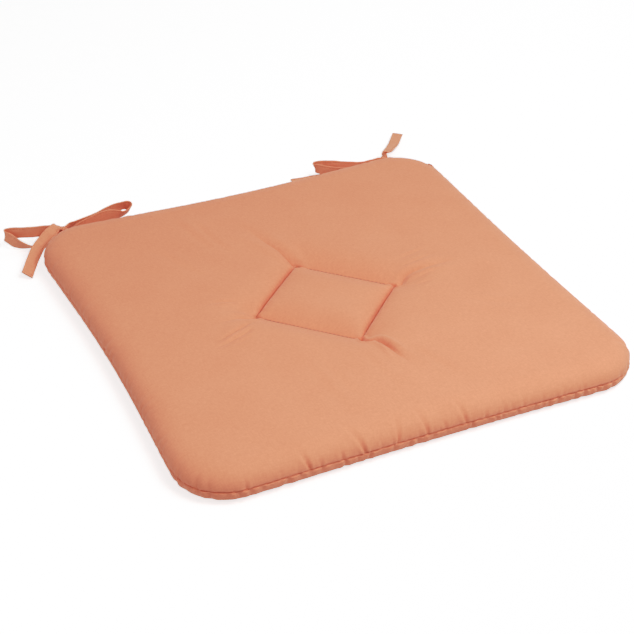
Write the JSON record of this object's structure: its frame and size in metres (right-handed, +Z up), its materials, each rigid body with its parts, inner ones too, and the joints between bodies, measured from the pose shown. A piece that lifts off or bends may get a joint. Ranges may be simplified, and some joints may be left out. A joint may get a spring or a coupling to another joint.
{
  "type": "chair seat pad",
  "caption": "Square tie-on chair seat pad: foam slab in a sewn plain-weave cotton cover with rounded corners, a quilted diamond at its middle and a tape bow at each rear corner.",
  "frame": {"origin": "centre of the pad's underside, on the surface it lies on", "axes": "+Z up through the pad, +Y to the rear edge that carries the ties, +X to the sitter's right"},
  "size_m": [0.4393, 0.4709, 0.0285],
  "materials": {
    "cover_cloth": "matt terracotta plain-weave cotton",
    "tie_tape": "folded and edge-stitched tape of the cover cloth",
    "foam": "open-cell polyurethane foam, hidden inside the cover",
    "sewing_thread": "polyester sewing thread in the cover's colour"
  },
  "bodies": {
    "pad": {"top_cover": "cover_cloth", "bottom_cover": "cover_cloth", "foam_core": "foam", "edge_seam_thread": "sewing_thread", "quilt_thread_top": "sewing_thread", "quilt_thread_bottom": "sewing_thread"},
    "left_bow": {"left_tie_root": "tie_tape", "left_knot": "tie_tape", "left_outer_loop": "tie_tape", "left_inner_loop": "tie_tape"},
    "left_outer_tail": {"left_outer_tail": "tie_tape"},
    "left_inner_tail": {"left_inner_tail": "tie_tape"},
    "right_bow": {"right_tie_root": "tie_tape", "right_knot": "tie_tape", "right_outer_loop": "tie_tape", "right_inner_loop": "tie_tape"},
    "right_outer_tail": {"right_outer_tail": "tie_tape"},
    "right_inner_tail": {"right_inner_tail": "tie_tape"}
  },
  "joints": [
    {"name": "left_bow_swing", "type": "hinge", "parent": "pad", "child": "left_bow", "pos_m": [-0.168, 0.201, 0.012], "axis": [1, 0, 0], "range_deg": [-50, 45]},
    {"name": "left_outer_tail_lift", "type": "hinge", "parent": "left_bow", "child": "left_outer_tail", "pos_m": [-0.168, 0.21, 0.012], "axis": [0.2978, 0.8437, -0.4467], "range_deg": [0, 60]},
    {"name": "left_inner_tail_sweep", "type": "hinge", "parent": "left_bow", "child": "left_inner_tail", "pos_m": [-0.168, 0.21, 0.012], "axis": [0, 0, 1], "range_deg": [0, 60]},
    {"name": "right_bow_swing", "type": "hinge", "parent": "pad", "child": "right_bow", "pos_m": [0.168, 0.201, 0.012], "axis": [1, 0, 0], "range_deg": [-50, 45]},
    {"name": "right_outer_tail_lift", "type": "hinge", "parent": "right_bow", "child": "right_outer_tail", "pos_m": [0.168, 0.21, 0.011], "axis": [0.9138, -0.4061, 0], "range_deg": [0, 75]},
    {"name": "right_inner_tail_sweep", "type": "hinge", "parent": "right_bow", "child": "right_inner_tail", "pos_m": [0.168, 0.21, 0.011], "axis": [0, 0, -1], "range_deg": [0, 60]}
  ]
}
